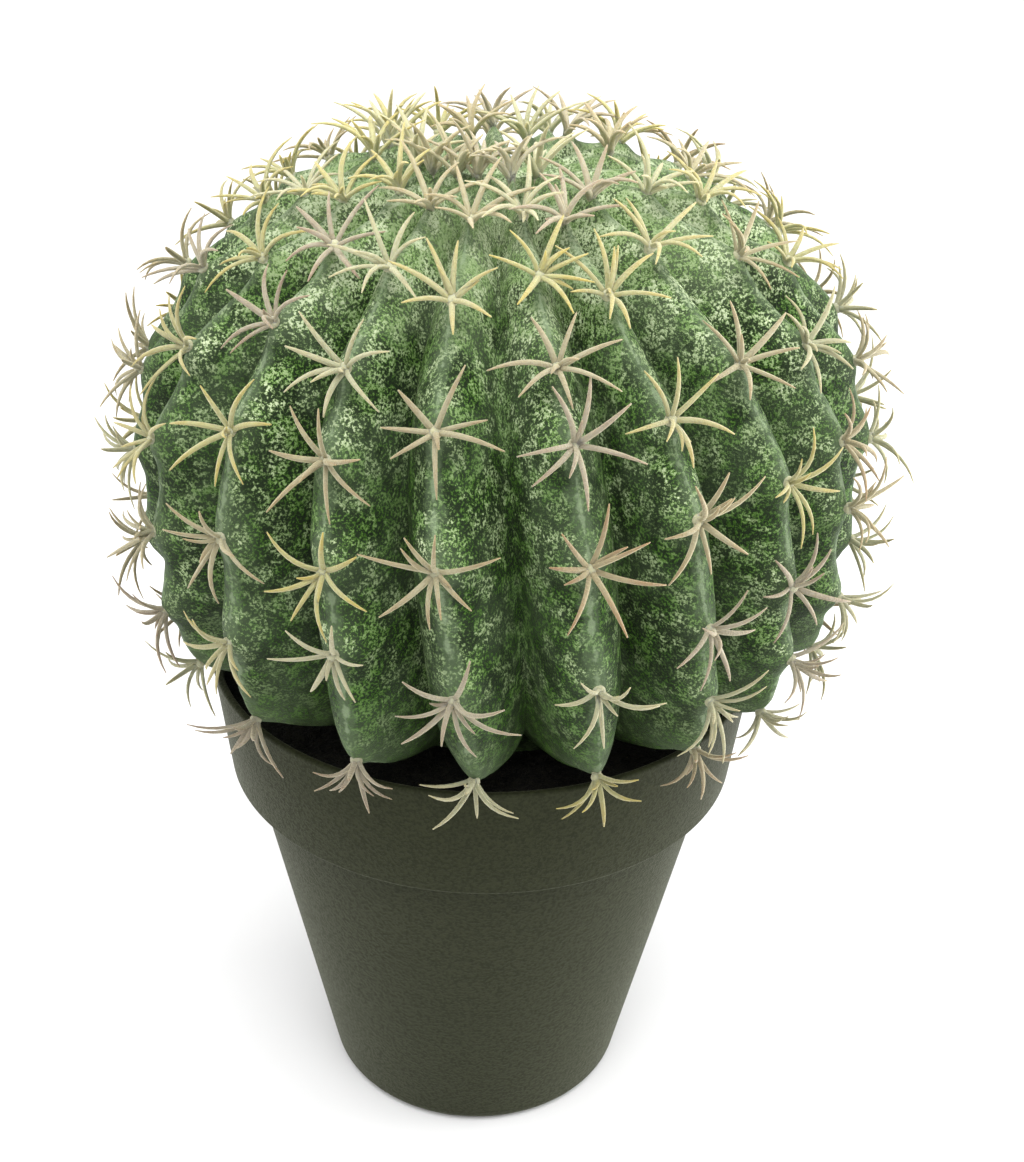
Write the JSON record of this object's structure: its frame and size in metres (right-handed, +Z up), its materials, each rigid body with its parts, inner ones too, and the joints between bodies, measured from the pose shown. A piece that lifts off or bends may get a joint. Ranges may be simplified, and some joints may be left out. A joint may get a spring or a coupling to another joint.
{
  "type": "potted round cactus",
  "caption": "Round ribbed cactus with stars of spines along its ribs, standing in dark soil in a tapered plastic pot with a tall collar.",
  "frame": {"origin": "centre of the pot's base, on the surface that it stands on", "axes": "+Z up, -Y towards the front of the picture, +X to the right"},
  "size_m": [0.2407, 0.2394, 0.3316],
  "materials": {
    "pot_plastic": "matte dark olive-grey moulded plastic with a very fine grain",
    "soil": "dry black fibrous potting soil",
    "cactus_skin": "dull bluish green skin with pale and dark specks and pale crests",
    "spines": "dull cream, yellow, beige and pinkish spines"
  },
  "bodies": {
    "root": {"pot": "pot_plastic", "soil": "soil", "cactus": "cactus_skin"}
  },
  "joints": []
}
